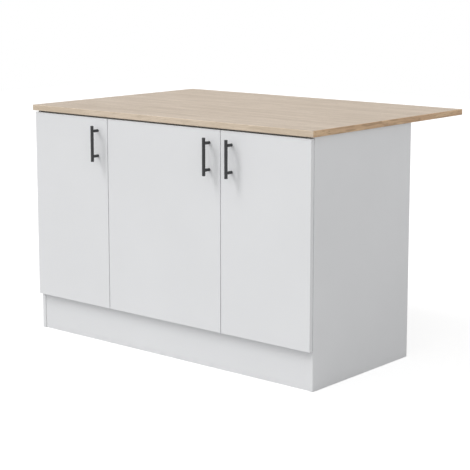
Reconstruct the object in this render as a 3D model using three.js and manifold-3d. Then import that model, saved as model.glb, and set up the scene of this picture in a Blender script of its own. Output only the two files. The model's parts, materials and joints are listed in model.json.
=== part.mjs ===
// Kitchen island unit: a three-door base cabinet on a plinth, under an oak worktop that overhangs its back.
//
// Millimetres, +Z up. X runs along the front from left to right and is 0 in the middle. Inside this file
// Y is 0 at the worktop's front edge and grows towards the back, and Z is 0 on the floor. The last lines
// shift the whole unit so that its origin lies on the floor under the middle of its outer box.
//
// Construction: two side panels stand on the floor. The bottom panel, two top rails and a full back panel
// join them. Two dividers stand behind the door joints, each over a plinth brace. The worktop lies on the
// side panels, the back panel and the rails. Each door hangs on two concealed cup hinges.

import * as THREE from "three";
import { mergeVertices } from "three/addons/utils/BufferGeometryUtils.js";
import Module from "manifold-3d";

const wasm = await Module();
wasm.setup();

// ---------------------------------------------------------------------------------------------
// Driving dimensions
// ---------------------------------------------------------------------------------------------

const WORKTOP_LENGTH = 1380;
const WORKTOP_DEPTH = 940;
const WORKTOP_THICKNESS = 22;
const TOTAL_HEIGHT = 900;

const BOARD = 16; // thickness of every white board, doors included
const BAY_WIDTHS = [400, 560, 400]; // from door joint to door joint, left to right
const BODY_DEPTH = 580;
const PLINTH_HEIGHT = 135;
const PLINTH_RECESS = 3; // behind the side panels' front edges
const RAIL_DEPTH = 100;
const FRONT_RAIL_SETBACK = 20; // the front rail keeps clear of the gap above the doors

const DOOR_HEIGHT = 730;
const DOOR_TOP_GAP = 6; // between the doors and the worktop
const DOOR_JOINT = 3; // between two doors
const DOOR_SETBACK = 5; // door faces behind the worktop's front edge
const DOOR_TO_BODY = 1.2; // air between the doors' backs and the cabinet, held by the hinges

const SHELF_BOTTOM = 490;
const SHELF_SETBACK = 20;
const SHELF_SIDE_CLEARANCE = 1;
const SHELF_BACK_CLEARANCE = 2;

// Rows of holes for the shelf supports: the middle hole of each row carries the shelf as it is stored.
const HOLE_PITCH = 32;
const HOLES_EACH_WAY = 2;
const HOLE_ROW_INSET = 60; // row to the shelf's front or back edge
const SUPPORT_PIN_RADIUS = 2.5;
const SUPPORT_PIN_DEPTH = 7;
const SUPPORT_HOLE_DEPTH = 9;
const SUPPORT_PIN_DROP = 5; // pin axis below the shelf
const SUPPORT_WIDTH = 8;
const SUPPORT_TAB = 8; // how far the tab reaches under the shelf
const SUPPORT_SHEET = 1.5;
const SUPPORT_PLATE_HEIGHT = 10;

const HANDLE_RADIUS = 6;
const HANDLE_LENGTH = 136;
const HANDLE_POST_RADIUS = 5.5;
const HANDLE_POST_SPACING = 96;
const HANDLE_STAND_OFF = 30; // bar axis in front of the door
const HANDLE_EDGE_DISTANCE = 50; // bar axis from the door's free edge
const HANDLE_TOP_POST = 48; // upper post's axis below the door's top edge
const HANDLE_CHAMFER = 1;
const HANDLE_SCREW_RADIUS = 2;
const HANDLE_SCREW_GRIP = 9; // screw inside the post
const HANDLE_SCREW_HEAD_RADIUS = 4;
const HANDLE_SCREW_HEAD = 2;

const HINGE_FROM_DOOR_END = 100;
const HINGE_CUP_RADIUS = 17.5;
const HINGE_CUP_DEPTH = 11.5;
const HINGE_CUP_WALL = 1;
const HINGE_CUP_TO_DOOR_EDGE = 22.5; // cup axis from the door's hinged edge
const HINGE_FLANGE = 0.8;
const HINGE_FLANGE_RADIUS = 19.5;
const HINGE_EAR_HEIGHT = 62;
const HINGE_EAR_WIDTH = 13;
const HINGE_PLATE_LINE = 37; // plate screws behind the cabinet's front edge
const HINGE_PLATE_SCREWS = 32; // from screw to screw, upright

// The hinge's half on the cabinet. Heights and thicknesses are measured from the board it is fixed to,
// fronts and backs from the cabinet's front edge, and half sizes from the hinge's middle.
const HINGE_RIDGE = { height: 8, halfWidth: 6, front: 20, back: 62 };
const HINGE_WING = { thickness: 2.5, halfHeight: 22, halfWidth: 8, screwRadius: 2.5 };
const HINGE_ARM = { sheet: 1.5, skirt: 6, front: 2, back: 66, crank: { start: 12, end: 19 } };

const FIT_GAP = 0.3; // between round pieces and the holes they sit in
const CUT_PAST = 1; // how far a cutting tool runs past the face it cuts

const ROUND_SIDES = 24;
const SMALL_ROUND_SIDES = 12;

// ---------------------------------------------------------------------------------------------
// Sizes worked out from them
// ---------------------------------------------------------------------------------------------

const BODY_WIDTH = BAY_WIDTHS.reduce((sum, width) => sum + width, 0);
const BODY_HEIGHT = TOTAL_HEIGHT - WORKTOP_THICKNESS;
const BODY_FRONT = DOOR_SETBACK + BOARD + DOOR_TO_BODY;
const BODY_BACK = BODY_FRONT + BODY_DEPTH;
const BACK_PANEL_FRONT = BODY_BACK - BOARD;
const SIDE_OUTER = BODY_WIDTH / 2;
const SIDE_INNER = SIDE_OUTER - BOARD;
const BOTTOM_TOP = PLINTH_HEIGHT + BOARD;
const RAIL_BOTTOM = BODY_HEIGHT - BOARD;
const PLINTH_FRONT = BODY_FRONT + PLINTH_RECESS;
const DIVIDER_X = BAY_WIDTHS[1] / 2; // middle plane of the right divider

const DOOR_BACK = DOOR_SETBACK + BOARD;
const DOOR_TOP = BODY_HEIGHT - DOOR_TOP_GAP;
const DOOR_BOTTOM = DOOR_TOP - DOOR_HEIGHT;
const HINGE_HEIGHTS = { lower: DOOR_BOTTOM + HINGE_FROM_DOOR_END, upper: DOOR_TOP - HINGE_FROM_DOOR_END };
const HANDLE_POST_HEIGHTS = {
  upper: DOOR_TOP - HANDLE_TOP_POST,
  lower: DOOR_TOP - HANDLE_TOP_POST - HANDLE_POST_SPACING,
};

const SHELF_FRONT = BODY_FRONT + SHELF_SETBACK;
const SHELF_BACK = BACK_PANEL_FRONT - SHELF_BACK_CLEARANCE;
const HOLE_ROWS = { front: SHELF_FRONT + HOLE_ROW_INSET, back: SHELF_BACK - HOLE_ROW_INSET };
const PIN_HEIGHT = SHELF_BOTTOM - SUPPORT_PIN_DROP;

// The faces that bound the three bays inside, and the faces of the three doors.
const BAYS = {
  left: { inside: [-SIDE_INNER, -DIVIDER_X - BOARD / 2], hinge: "left" },
  middle: { inside: [-DIVIDER_X + BOARD / 2, DIVIDER_X - BOARD / 2], hinge: "left" },
  right: { inside: [DIVIDER_X + BOARD / 2, SIDE_INNER], hinge: "right" },
};
const DOORS = {
  left: [-SIDE_OUTER + DOOR_JOINT / 2, -DIVIDER_X - DOOR_JOINT / 2],
  middle: [-DIVIDER_X + DOOR_JOINT / 2, DIVIDER_X - DOOR_JOINT / 2],
  right: [DIVIDER_X + DOOR_JOINT / 2, SIDE_OUTER - DOOR_JOINT / 2],
};

// ---------------------------------------------------------------------------------------------
// Materials: each piece gets a material of its own
// ---------------------------------------------------------------------------------------------

const lightOak = () => new THREE.MeshStandardMaterial({ color: 0xcbbdb0, roughness: 0.55, metalness: 0 });
const whiteBoard = () => new THREE.MeshStandardMaterial({ color: 0xdddee0, roughness: 0.5, metalness: 0 });
const whiteDoor = () => new THREE.MeshStandardMaterial({ color: 0xe2e3e5, roughness: 0.45, metalness: 0 });
const anthracite = () => new THREE.MeshStandardMaterial({ color: 0x36373a, roughness: 0.45, metalness: 0.6 });
const nickelSteel = () => new THREE.MeshStandardMaterial({ color: 0xb9bbbd, roughness: 0.3, metalness: 1 });

// ---------------------------------------------------------------------------------------------
// Shapes
// ---------------------------------------------------------------------------------------------

// A box between two planes along each axis.
function block([x0, x1], [y0, y1], [z0, z1]) {
  const box = new THREE.BoxGeometry(x1 - x0, y1 - y0, z1 - z0);
  return box.translate((x0 + x1) / 2, (y0 + y1) / 2, (z0 + z1) / 2);
}

// A cylinder whose axis runs along Y at (x, z) from y0 to y1.
function rodAlongY(radius, [x, z], [y0, y1], sides) {
  const rod = new THREE.CylinderGeometry(radius, radius, y1 - y0, sides);
  return rod.translate(x, (y0 + y1) / 2, z);
}

// A cylinder whose axis runs along X at (y, z) from x0 to x1.
function rodAlongX(radius, [y, z], [x0, x1], sides) {
  const rod = new THREE.CylinderGeometry(radius, radius, x1 - x0, sides);
  return rod.rotateZ(-Math.PI / 2).translate((x0 + x1) / 2, y, z);
}

// A closed geometry as a solid that can be joined and cut.
function solid(geometry) {
  const bare = geometry.clone();
  bare.deleteAttribute("normal");
  bare.deleteAttribute("uv");
  const merged = mergeVertices(bare, 1e-4);
  const vertProperties = merged.attributes.position.array;
  const triVerts = new Uint32Array(merged.index.array);
  return new wasm.Manifold(new wasm.Mesh({ numProp: 3, vertProperties, triVerts }));
}

// A solid back as a geometry, with flat faces.
function geometryOf(made) {
  const mesh = made.getMesh();
  const geometry = new THREE.BufferGeometry();
  geometry.setAttribute("position", new THREE.BufferAttribute(new Float32Array(mesh.vertProperties), 3));
  geometry.setIndex(new THREE.BufferAttribute(new Uint32Array(mesh.triVerts), 1));
  const flat = geometry.toNonIndexed();
  flat.computeVertexNormals();
  return flat;
}

// The base geometry with each added geometry joined to it and each cut geometry taken out of it.
function shaped(base, { added = [], cut = [] }) {
  let made = solid(base);
  for (const piece of added) {
    made = made.add(solid(piece));
  }
  for (const tool of cut) {
    made = made.subtract(solid(tool));
  }
  return geometryOf(made);
}

// A piece of the unit: a geometry under its own name, with its own material.
function piece(name, geometry, material) {
  const mesh = new THREE.Mesh(geometry, material);
  mesh.name = name;
  return mesh;
}

// ---------------------------------------------------------------------------------------------
// Cabinet boards
// ---------------------------------------------------------------------------------------------

function worktop() {
  const x = [-WORKTOP_LENGTH / 2, WORKTOP_LENGTH / 2];
  const board = block(x, [0, WORKTOP_DEPTH], [BODY_HEIGHT, TOTAL_HEIGHT]);
  return piece("worktop", board, lightOak());
}

// Places of the holes for shelf supports: two upright rows, given as [y, z].
function supportHolePlaces() {
  const places = [];
  for (const y of Object.values(HOLE_ROWS)) {
    for (let step = -HOLES_EACH_WAY; step <= HOLES_EACH_WAY; step += 1) {
      places.push([y, PIN_HEIGHT + step * HOLE_PITCH]);
    }
  }
  return places;
}

// An upright board with rows of support holes over the stretch [x0, x1].
function drilledUpright(name, x, y, z, holeStretch) {
  const radius = SUPPORT_PIN_RADIUS + FIT_GAP;
  const holes = supportHolePlaces().map((place) => rodAlongX(radius, place, holeStretch, SMALL_ROUND_SIDES));
  return piece(name, shaped(block(x, y, z), { cut: holes }), whiteBoard());
}

function sidePanels() {
  const y = [BODY_FRONT, BODY_BACK];
  const z = [0, BODY_HEIGHT];
  const leftHoles = [-SIDE_INNER - SUPPORT_HOLE_DEPTH, -SIDE_INNER + CUT_PAST];
  const rightHoles = [SIDE_INNER - CUT_PAST, SIDE_INNER + SUPPORT_HOLE_DEPTH];
  return [
    drilledUpright("left_side_panel", [-SIDE_OUTER, -SIDE_INNER], y, z, leftHoles),
    drilledUpright("right_side_panel", [SIDE_INNER, SIDE_OUTER], y, z, rightHoles),
  ];
}

// The dividers carry supports on both faces, so their holes go right through.
function dividers() {
  const y = [BODY_FRONT, BACK_PANEL_FRONT];
  const z = [BOTTOM_TOP, RAIL_BOTTOM];
  return Object.entries({ left: -DIVIDER_X, right: DIVIDER_X }).map(([side, centre]) => {
    const x = [centre - BOARD / 2, centre + BOARD / 2];
    return drilledUpright(`${side}_divider`, x, y, z, [x[0] - CUT_PAST, x[1] + CUT_PAST]);
  });
}

function bottomPanel() {
  const board = block([-SIDE_INNER, SIDE_INNER], [BODY_FRONT, BACK_PANEL_FRONT], [PLINTH_HEIGHT, BOTTOM_TOP]);
  return piece("bottom_panel", board, whiteBoard());
}

function topRails() {
  const x = [-SIDE_INNER, SIDE_INNER];
  const z = [RAIL_BOTTOM, BODY_HEIGHT];
  const front = BODY_FRONT + FRONT_RAIL_SETBACK;
  return [
    piece("front_top_rail", block(x, [front, front + RAIL_DEPTH], z), whiteBoard()),
    piece("back_top_rail", block(x, [BACK_PANEL_FRONT - RAIL_DEPTH, BACK_PANEL_FRONT], z), whiteBoard()),
  ];
}

function backPanel() {
  const board = block([-SIDE_INNER, SIDE_INNER], [BACK_PANEL_FRONT, BODY_BACK], [0, BODY_HEIGHT]);
  return piece("back_panel", board, whiteBoard());
}

// The plinth board closes the front below the doors; a brace under each divider ties it to the back panel.
function plinth() {
  const z = [0, PLINTH_HEIGHT];
  const plinthBack = PLINTH_FRONT + BOARD;
  const board = block([-SIDE_INNER, SIDE_INNER], [PLINTH_FRONT, plinthBack], z);
  const braces = Object.entries({ left: -DIVIDER_X, right: DIVIDER_X }).map(([side, centre]) => {
    const brace = block([centre - BOARD / 2, centre + BOARD / 2], [plinthBack, BACK_PANEL_FRONT], z);
    return piece(`${side}_plinth_brace`, brace, whiteBoard());
  });
  return [piece("plinth_board", board, whiteBoard()), ...braces];
}

// ---------------------------------------------------------------------------------------------
// Shelves and their supports
// ---------------------------------------------------------------------------------------------

function shelf(side, [x0, x1]) {
  const x = [x0 + SHELF_SIDE_CLEARANCE, x1 - SHELF_SIDE_CLEARANCE];
  const board = block(x, [SHELF_FRONT, SHELF_BACK], [SHELF_BOTTOM, SHELF_BOTTOM + BOARD]);
  return piece(`${side}_shelf`, board, whiteBoard());
}

// A shelf support: a bent steel angle whose tab lies under the shelf, with a pin that sits in the board.
// face is the board face it leans on, and into is +1 where the bay lies on the right of that face.
function shelfSupport(name, face, into, y) {
  const across = (near, far) => [face + into * near, face + into * far].sort((a, b) => a - b);
  const width = [y - SUPPORT_WIDTH / 2, y + SUPPORT_WIDTH / 2];
  const plate = block(across(0, SUPPORT_SHEET), width, [SHELF_BOTTOM - SUPPORT_PLATE_HEIGHT, SHELF_BOTTOM]);
  const tab = block(across(0, SUPPORT_TAB), width, [SHELF_BOTTOM - SUPPORT_SHEET, SHELF_BOTTOM]);
  const pinStretch = across(-SUPPORT_PIN_DEPTH, SUPPORT_SHEET / 2);
  const pin = rodAlongX(SUPPORT_PIN_RADIUS, [y, PIN_HEIGHT], pinStretch, SMALL_ROUND_SIDES);
  return piece(name, shaped(plate, { added: [tab, pin] }), nickelSteel());
}

function shelfSupports(side, [x0, x1]) {
  return Object.entries(HOLE_ROWS).flatMap(([row, y]) => [
    shelfSupport(`${side}_shelf_support_${row}_left`, x0, 1, y),
    shelfSupport(`${side}_shelf_support_${row}_right`, x1, -1, y),
  ]);
}

// ---------------------------------------------------------------------------------------------
// Doors and handles
// ---------------------------------------------------------------------------------------------

// Where a door's cups and handle sit along X, from the side it is hinged on.
function doorLayout(side) {
  const [x0, x1] = DOORS[side];
  const hingedLeft = BAYS[side].hinge === "left";
  return {
    hingeX: hingedLeft ? x0 + HINGE_CUP_TO_DOOR_EDGE : x1 - HINGE_CUP_TO_DOOR_EDGE,
    handleX: hingedLeft ? x1 - HANDLE_EDGE_DISTANCE : x0 + HANDLE_EDGE_DISTANCE,
  };
}

// A door with a blind bore for each hinge cup and a clearance hole for each handle screw.
function door(side) {
  const { hingeX, handleX } = doorLayout(side);
  const leaf = block(DOORS[side], [DOOR_SETBACK, DOOR_BACK], [DOOR_BOTTOM, DOOR_TOP]);
  const boreStretch = [DOOR_BACK - HINGE_CUP_DEPTH - FIT_GAP, DOOR_BACK + CUT_PAST];
  const cupBores = Object.values(HINGE_HEIGHTS).map((z) =>
    rodAlongY(HINGE_CUP_RADIUS + FIT_GAP, [hingeX, z], boreStretch, ROUND_SIDES),
  );
  const screwStretch = [DOOR_SETBACK - CUT_PAST, DOOR_BACK + CUT_PAST];
  const screwHoles = Object.values(HANDLE_POST_HEIGHTS).map((z) =>
    rodAlongY(HANDLE_SCREW_RADIUS + FIT_GAP, [handleX, z], screwStretch, SMALL_ROUND_SIDES),
  );
  return piece(`${side}_door`, shaped(leaf, { cut: [...cupBores, ...screwHoles] }), whiteDoor());
}

// The handle's bar: a round rod along Z with its two ends chamfered.
function handleBar(x, y, [z0, z1]) {
  const section = new THREE.Shape();
  section.absarc(0, 0, HANDLE_RADIUS, 0, 2 * Math.PI, false);
  const straight = z1 - z0 - 2 * HANDLE_CHAMFER;
  const bar = new THREE.ExtrudeGeometry(section, {
    depth: straight,
    curveSegments: ROUND_SIDES / 2, // a whole circle takes two steps for each
    bevelThickness: HANDLE_CHAMFER,
    bevelSize: HANDLE_CHAMFER,
    bevelOffset: -HANDLE_CHAMFER,
    bevelSegments: 1,
  });
  return bar.translate(x, y, z0 + HANDLE_CHAMFER);
}

// A handle is one piece: the bar on two posts, each with a screw hole from the door's side.
function handle(side) {
  const { handleX } = doorLayout(side);
  const barY = DOOR_SETBACK - HANDLE_STAND_OFF;
  const middle = (HANDLE_POST_HEIGHTS.upper + HANDLE_POST_HEIGHTS.lower) / 2;
  const bar = handleBar(handleX, barY, [middle - HANDLE_LENGTH / 2, middle + HANDLE_LENGTH / 2]);
  const posts = Object.values(HANDLE_POST_HEIGHTS).map((z) =>
    rodAlongY(HANDLE_POST_RADIUS, [handleX, z], [barY, DOOR_SETBACK], ROUND_SIDES),
  );
  const holeStretch = [DOOR_SETBACK - HANDLE_SCREW_GRIP - FIT_GAP, DOOR_SETBACK + CUT_PAST];
  const holes = Object.values(HANDLE_POST_HEIGHTS).map((z) =>
    rodAlongY(HANDLE_SCREW_RADIUS + FIT_GAP, [handleX, z], holeStretch, SMALL_ROUND_SIDES),
  );
  return piece(`${side}_door_handle`, shaped(bar, { added: posts, cut: holes }), anthracite());
}

// A pan-head screw from the back of the door into a handle post.
function handleScrew(side, end) {
  const { handleX } = doorLayout(side);
  const place = [handleX, HANDLE_POST_HEIGHTS[end]];
  const headStretch = [DOOR_BACK, DOOR_BACK + HANDLE_SCREW_HEAD];
  const shankStretch = [DOOR_SETBACK - HANDLE_SCREW_GRIP, DOOR_BACK + HANDLE_SCREW_HEAD / 2];
  const head = rodAlongY(HANDLE_SCREW_HEAD_RADIUS, place, headStretch, SMALL_ROUND_SIDES);
  const shank = rodAlongY(HANDLE_SCREW_RADIUS, place, shankStretch, SMALL_ROUND_SIDES);
  return piece(`${side}_door_handle_screw_${end}`, shaped(head, { added: [shank] }), nickelSteel());
}

// ---------------------------------------------------------------------------------------------
// Concealed hinges
// ---------------------------------------------------------------------------------------------

// The half on the door: a pressed cup in its bore, under a flange with two screw ears.
function hingeCup(side, end) {
  const { hingeX } = doorLayout(side);
  const centre = [hingeX, HINGE_HEIGHTS[end]];
  const flangeStretch = [DOOR_BACK, DOOR_BACK + HINGE_FLANGE];
  const shellStretch = [DOOR_BACK - HINGE_CUP_DEPTH, DOOR_BACK + HINGE_FLANGE / 2];
  const hollowStretch = [DOOR_BACK - HINGE_CUP_DEPTH + HINGE_CUP_WALL, DOOR_BACK + HINGE_FLANGE + CUT_PAST];
  const shell = rodAlongY(HINGE_CUP_RADIUS, centre, shellStretch, ROUND_SIDES);
  const flange = rodAlongY(HINGE_FLANGE_RADIUS, centre, flangeStretch, ROUND_SIDES);
  const earsX = [hingeX - HINGE_EAR_WIDTH / 2, hingeX + HINGE_EAR_WIDTH / 2];
  const earsZ = [HINGE_HEIGHTS[end] - HINGE_EAR_HEIGHT / 2, HINGE_HEIGHTS[end] + HINGE_EAR_HEIGHT / 2];
  const ears = block(earsX, flangeStretch, earsZ);
  const hollow = rodAlongY(HINGE_CUP_RADIUS - HINGE_CUP_WALL, centre, hollowStretch, ROUND_SIDES);
  const cup = shaped(shell, { added: [flange, ears], cut: [hollow] });
  return piece(`${side}_door_hinge_cup_${end}`, cup, nickelSteel());
}

// The half on the cabinet is drawn from the board it is fixed to: X into the bay, Y back from the
// cabinet's front edge, Z up from the hinge's middle. It is the same from above and below, so a half
// turn about Y serves the hinges on the right.

// Mounting plate: a ridge that carries the arm, between two wings with a screw hole each.
function hingePlate(name) {
  const { height, halfWidth, front, back } = HINGE_RIDGE;
  const ridge = block([0, height], [front, back], [-halfWidth, halfWidth]);
  const wingDepth = [HINGE_PLATE_LINE - HINGE_WING.halfWidth, HINGE_PLATE_LINE + HINGE_WING.halfWidth];
  const wings = block([0, HINGE_WING.thickness], wingDepth, [-HINGE_WING.halfHeight, HINGE_WING.halfHeight]);
  const holes = [-1, 1].map((end) => {
    const place = [HINGE_PLATE_LINE, (end * HINGE_PLATE_SCREWS) / 2];
    const stretch = [-CUT_PAST, HINGE_WING.thickness + CUT_PAST];
    return rodAlongX(HINGE_WING.screwRadius, place, stretch, SMALL_ROUND_SIDES);
  });
  return piece(name, shaped(ridge, { added: [wings], cut: holes }), nickelSteel());
}

// Side view of the arm, from its front end to its back end: a band of the given height whose front is
// lifted by the crank.
function armProfile(top, height, [front, back], crank) {
  const crankStart = HINGE_ARM.crank.start;
  const crankEnd = HINGE_ARM.crank.end;
  const profile = new THREE.Shape();
  profile.moveTo(top - height, back);
  profile.lineTo(top, back);
  profile.lineTo(top, crankEnd);
  profile.lineTo(top + crank, crankStart);
  profile.lineTo(top + crank, front);
  profile.lineTo(top + crank - height, front);
  profile.lineTo(top + crank - height, crankStart);
  profile.lineTo(top - height, crankEnd);
  return profile;
}

// Hinge arm: a channel of bent sheet over the ridge, open towards the board. Where the board stands
// behind the door joint and not at its end, a crank lifts the front of the arm to meet the cup.
function hingeArm(name, crank) {
  const { sheet, front, back, skirt } = HINGE_ARM;
  const insideHalf = HINGE_RIDGE.halfWidth + FIT_GAP;
  const outsideHalf = insideHalf + sheet;
  const webInside = HINGE_RIDGE.height + FIT_GAP;
  const outside = armProfile(webInside + sheet, skirt, [front, back], crank);
  const inside = armProfile(webInside, skirt, [front - CUT_PAST, back + CUT_PAST], crank);
  const band = new THREE.ExtrudeGeometry(outside, { depth: 2 * outsideHalf, bevelEnabled: false });
  const hollow = new THREE.ExtrudeGeometry(inside, { depth: 2 * insideHalf, bevelEnabled: false });
  band.translate(0, 0, -outsideHalf);
  hollow.translate(0, 0, -insideHalf);
  return piece(name, shaped(band, { cut: [hollow] }), nickelSteel());
}

function hingeOnCabinet(side, end) {
  const { inside, hinge } = BAYS[side];
  const onLeft = hinge === "left";
  const face = onLeft ? inside[0] : inside[1];
  const cupFromFace = Math.abs(doorLayout(side).hingeX - face);
  const crank = side === "middle" ? cupFromFace - HINGE_RIDGE.height : 0;
  const half = new THREE.Group();
  half.position.set(face, BODY_FRONT, HINGE_HEIGHTS[end]);
  half.rotation.y = onLeft ? 0 : Math.PI;
  half.add(hingePlate(`${side}_door_hinge_plate_${end}`), hingeArm(`${side}_door_hinge_arm_${end}`, crank));
  return half;
}

// ---------------------------------------------------------------------------------------------
// The unit
// ---------------------------------------------------------------------------------------------

function cabinet() {
  const body = new THREE.Group();
  body.add(worktop(), bottomPanel(), backPanel());
  body.add(...sidePanels(), ...dividers(), ...topRails(), ...plinth());
  for (const [side, { inside }] of Object.entries(BAYS)) {
    body.add(shelf(side, inside), ...shelfSupports(side, inside));
    for (const end of Object.keys(HINGE_HEIGHTS)) {
      body.add(hingeOnCabinet(side, end));
    }
  }
  return body;
}

function doorAssembly(side) {
  const assembly = new THREE.Group();
  assembly.add(door(side), handle(side));
  for (const end of ["upper", "lower"]) {
    assembly.add(handleScrew(side, end), hingeCup(side, end));
  }
  return assembly;
}

const island = new THREE.Group();
island.add(cabinet(), ...Object.keys(DOORS).map(doorAssembly));

// The origin goes under the middle of the outer box, whose front is the handles' and whose back the worktop's.
const frontmost = DOOR_SETBACK - HANDLE_STAND_OFF - HANDLE_RADIUS;
island.position.y = -(frontmost + WORKTOP_DEPTH) / 2;

export default island;
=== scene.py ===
# %% [markdown]
# # A kitchen island in white board and light oak
#
# This lesson dresses a kitchen island: a white cabinet with three doors under an oak worktop that reaches out
# over its back. The construction comes in as a frame of solids at their real size. Each step then adds what
# makes one part look real: the banded edges of the boards, the drillings, the handles, the hinges, the screws
# and the finishes. Nothing is moved or resized, and every length is in metres.

# %% Load the frame
import json
import math

import bmesh
import bpy
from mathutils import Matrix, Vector


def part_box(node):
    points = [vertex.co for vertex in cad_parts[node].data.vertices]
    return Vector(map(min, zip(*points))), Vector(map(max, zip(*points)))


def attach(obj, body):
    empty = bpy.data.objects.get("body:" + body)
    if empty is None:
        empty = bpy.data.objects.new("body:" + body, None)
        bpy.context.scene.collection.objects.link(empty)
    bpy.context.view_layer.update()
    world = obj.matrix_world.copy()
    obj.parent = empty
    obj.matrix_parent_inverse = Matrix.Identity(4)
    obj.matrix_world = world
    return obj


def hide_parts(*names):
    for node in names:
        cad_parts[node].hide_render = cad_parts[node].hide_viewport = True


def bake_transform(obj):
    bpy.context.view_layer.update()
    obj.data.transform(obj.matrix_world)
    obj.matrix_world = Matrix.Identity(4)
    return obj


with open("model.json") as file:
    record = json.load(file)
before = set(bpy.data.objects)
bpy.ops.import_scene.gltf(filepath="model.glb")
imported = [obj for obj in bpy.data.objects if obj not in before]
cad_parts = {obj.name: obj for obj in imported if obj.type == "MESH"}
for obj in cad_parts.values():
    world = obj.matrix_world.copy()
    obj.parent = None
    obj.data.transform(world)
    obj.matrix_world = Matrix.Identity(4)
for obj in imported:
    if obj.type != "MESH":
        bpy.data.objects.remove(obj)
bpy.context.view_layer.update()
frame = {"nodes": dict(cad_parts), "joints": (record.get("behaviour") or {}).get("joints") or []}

MM = 0.001

# %% [markdown]
# ## The camera
#
# The picture was taken with a long lens from the right front corner, a little above the worktop, and its
# uprights were straightened afterwards. A level camera with a large upward shift would do that too, but it
# would push the island out of every other view. So the camera looks down a little, and only a small shift
# lifts the frame. Its place is measured from the worktop's right front corner.

# %% Camera
EYE_RIGHT = 2.748
EYE_FORWARD = 3.647
EYE_ABOVE = 0.538
EYE_TURN = math.radians(40.24)
EYE_DIP = math.radians(9.07)
LENS = 106.6
FRAME_SHIFT = -0.10


def shown_object(name, data):
    """An object in the scene that shows a mesh, a lamp or a camera."""
    made = bpy.data.objects.new(name, data)
    bpy.context.scene.collection.objects.link(made)
    return made


top_low, top_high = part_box("worktop")
camera = shown_object("camera", bpy.data.cameras.new("camera"))
camera.location = (top_high.x + EYE_RIGHT, top_low.y - EYE_FORWARD, top_high.z + EYE_ABOVE)
camera.rotation_euler = (math.pi / 2 - EYE_DIP, 0.0, EYE_TURN)
camera.data.lens = LENS
camera.data.shift_y = FRAME_SHIFT
bpy.context.scene.camera = camera
bpy.context.scene.view_settings.view_transform = "Standard"
print("camera:", [round(value, 3) for value in camera.location])

# %% [markdown]
# ## Building trees of nodes
#
# Finishes and repeated parts are both small trees of nodes. Written out by hand, each tree would be a page
# long. One helper makes any node with its settings and links and gives back one of its outputs. An output
# knows its tree, so the next node only has to be told what it works on. A few others name what this lesson
# needs again and again: plain arithmetic, stretched noise, a colour laid over another where a pattern is
# strong, and a fine relief.


# %% Helpers for any node
def is_output(value):
    return isinstance(value, bpy.types.NodeSocket)


def connect(socket, value):
    """Gives a socket a value, another node's output, or several outputs in a list."""
    several = isinstance(value, list) and is_output(value[0])
    for source in value if several else [value]:
        if is_output(source):
            socket.id_data.links.new(source, socket)
        elif socket.type == "RGBA":
            socket.default_value = (*source, 1.0)
        else:
            socket.default_value = source


def add(beside, kind, inputs, output=0, **settings):
    """One output of a new node, in a tree or in the tree that another output belongs to."""
    made = beside.id_data.nodes.new(kind)
    for setting, value in settings.items():
        setattr(made, setting, value)
    for socket, value in inputs.items():
        connect(made.inputs[socket], value)
    return made.outputs[output]


def maths(operation, first, second=0.0):
    beside = first if is_output(first) else second
    return add(beside, "ShaderNodeMath", {0: first, 1: second}, operation=operation)


def plus(first, second):
    return maths("ADD", first, second)


def minus(first, second):
    return maths("SUBTRACT", first, second)


def times(first, second):
    return maths("MULTIPLY", first, second)


def at(x=0.0, y=0.0, z=0.0):
    """A place in a tree, from outputs and numbers."""
    beside = next(value for value in (x, y, z) if is_output(value))
    return add(beside, "ShaderNodeCombineXYZ", {"X": x, "Y": y, "Z": z})


# %% Helpers for finishes
def feed(shader, **values):
    """Sets or links a shader's sockets, named with underscores for spaces."""
    for socket, value in values.items():
        connect(shader.inputs[socket.replace("_", " ")], value)


def new_finish(name, roughness, **values):
    """A material, its tree and its shader, ready for a pattern."""
    made = bpy.data.materials.new(name)
    made.use_nodes = True
    shader = made.node_tree.nodes["Principled BSDF"]
    feed(shader, Roughness=roughness, **values)
    print("finish:", name)
    return made, made.node_tree, shader


def noise(tree, size, stretch=(1, 1, 1), place=(0, 0, 0), detail=2.0, roughness=0.5, distortion=0.0):
    """Noise with marks about one size across, longer along an axis by its stretch, moved by its place."""
    where = add(tree, "ShaderNodeTexCoord", {}, "Object")
    scale = [1 / (size * longer) for longer in stretch]
    mapped = add(tree, "ShaderNodeMapping", {"Vector": where, "Location": place, "Scale": scale})
    pattern = {"Vector": mapped, "Scale": 1.0, "Roughness": roughness, "Distortion": distortion}
    return add(tree, "ShaderNodeTexNoise", {**pattern, "Detail": detail}, "Fac")


def spread(value, low, high, start=0.35, end=0.65):
    """The value's stretch from start to end, laid out from low to high."""
    limits = {"Value": value, "From Min": start, "From Max": end, "To Min": low, "To Max": high}
    return add(value, "ShaderNodeMapRange", limits)


def mixed(factor, first, second):
    """Two colours mixed by a factor."""
    return add(factor, "ShaderNodeMix", {0: factor, 6: first, 7: second}, 2, data_type="RGBA")


def over(under, pattern, most, colour, start=0.35, end=0.65):
    """A colour laid over another one, at most by a share, where the pattern is strong."""
    return mixed(spread(pattern, 0.0, most, start, end), under, colour)


def relief(shader, height, depth, strength=1.0):
    """A relief of the given depth in the shader's surface."""
    bump = {"Height": height, "Distance": depth, "Strength": strength}
    feed(shader, Normal=add(height, "ShaderNodeBump", bump))


def darker(colour, share):
    """A colour with a share of its light taken away."""
    return tuple(part * (1 - share) for part in colour)


# %% [markdown]
# ## Light, floor and background
#
# The island stands in soft studio light: a tall key lamp from the left front, high up, a broad lamp in front,
# a faint one from the right, and an even light from all round. The shadows of the handles give the key lamp's
# direction and its height. A bar 30 mm in front of the door throws its shadow 34 mm to the right, and smears
# it from 36 to 78 mm down, so three suns stand one above the other for the tall lamp. The background is white
# only for the camera and in reflections, so that it adds no light to the object. The floor keeps the shadow,
# and what the camera sees of it is lifted, so that it melts into the background.

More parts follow.
